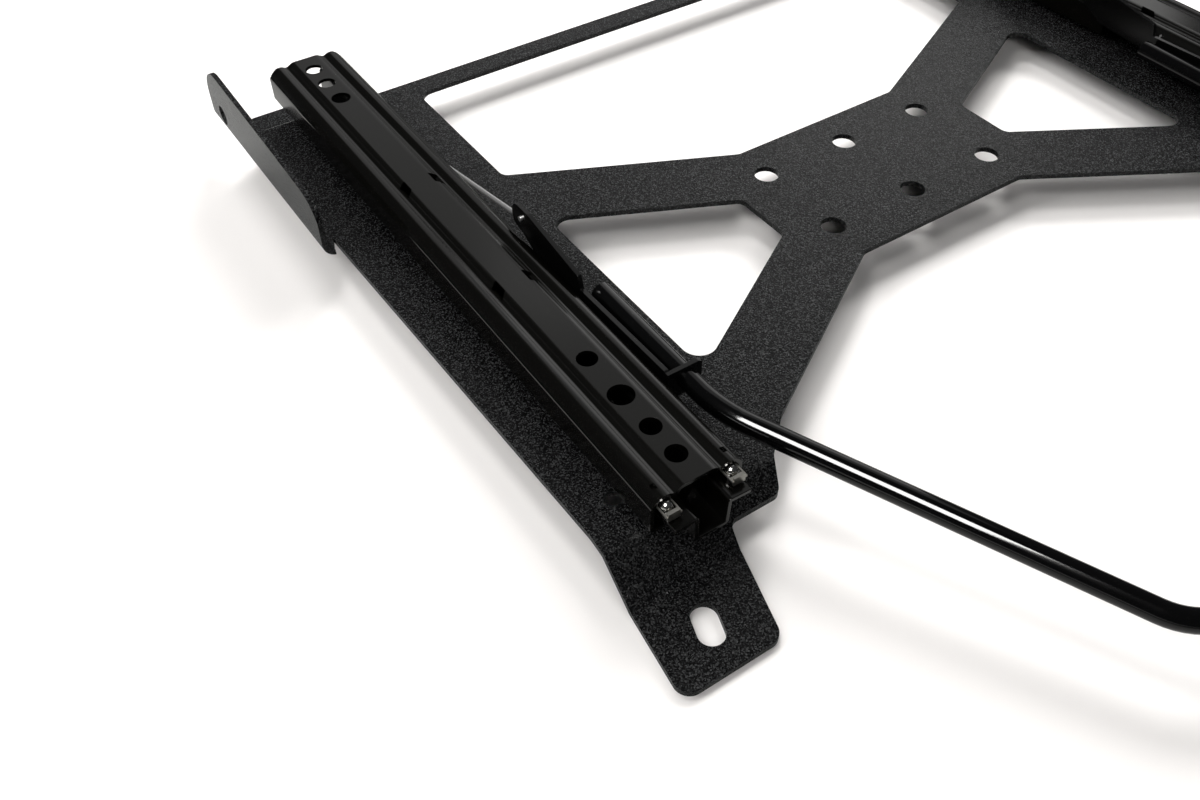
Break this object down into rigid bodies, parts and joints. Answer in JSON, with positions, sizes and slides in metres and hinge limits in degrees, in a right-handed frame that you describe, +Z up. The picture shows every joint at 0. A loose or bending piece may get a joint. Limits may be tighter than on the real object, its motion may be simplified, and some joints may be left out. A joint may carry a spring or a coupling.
{
  "type": "sliding seat mount",
  "caption": "Folded black floor plate with two ball-bearing seat sliders, a bolt hub and a lift bar that releases both sliders.",
  "frame": {"origin": "centre of the footprint at floor level, under the hub", "axes": "+X across the seat to its right, +Y to the rear, +Z up"},
  "size_m": [0.506, 0.4922, 0.0461],
  "materials": {
    "plate_coating": "matte textured powder coat",
    "bar_gloss": "smooth gloss black",
    "rail_black": "satin black on rolled steel",
    "lever_black": "satin black",
    "zinc": "bright zinc",
    "spring_wire": "bright drawn wire"
  },
  "bodies": {
    "base": {"base_plate": "plate_coating", "left_lower_rail": "rail_black", "right_lower_rail": "rail_black"},
    "left_slider": {"left_upper_rail": "rail_black", "left_pivot_pin": "zinc", "left_return_spring": "spring_wire"},
    "right_slider": {"right_upper_rail": "rail_black", "right_pivot_pin": "zinc", "right_return_spring": "spring_wire"},
    "left_bearings": {"left_outer_ball_cage": "zinc", "left_inner_ball_cage": "zinc"},
    "right_bearings": {"right_outer_ball_cage": "zinc", "right_inner_ball_cage": "zinc"},
    "handle": {"towel_bar": "bar_gloss", "left_release_lever": "lever_black", "left_lock_comb": "lever_black", "right_release_lever": "lever_black", "right_lock_comb": "lever_black"}
  },
  "joints": [
    {"name": "left_slide", "type": "slide", "parent": "base", "child": "left_slider", "axis": [0, 1, 0], "range_m": [0, 0.15]},
    {"name": "right_slide", "type": "slide", "parent": "base", "child": "right_slider", "axis": [0, 1, 0], "range_m": [0, 0.15]},
    {"name": "left_bearing_roll", "type": "slide", "parent": "base", "child": "left_bearings", "axis": [0, 1, 0], "range_m": [0, 0.075]},
    {"name": "right_bearing_roll", "type": "slide", "parent": "base", "child": "right_bearings", "axis": [0, 1, 0], "range_m": [0, 0.075]},
    {"name": "handle_lift", "type": "hinge", "parent": "left_slider", "child": "handle", "pos_m": [-0.1819, -0.03, 0.024], "axis": [-1, 0, 0], "range_deg": [0, 8], "stiffness_Nm_per_rad": 5, "springref_deg": -5.73, "deforming": ["left_return_spring", "right_return_spring"]}
  ],
  "couplings": [
    {"joint": "right_slide", "follows": "left_slide", "ratio": 1},
    {"joint": "left_bearing_roll", "follows": "left_slide", "ratio": 0.5},
    {"joint": "right_bearing_roll", "follows": "left_slide", "ratio": 0.5}
  ]
}
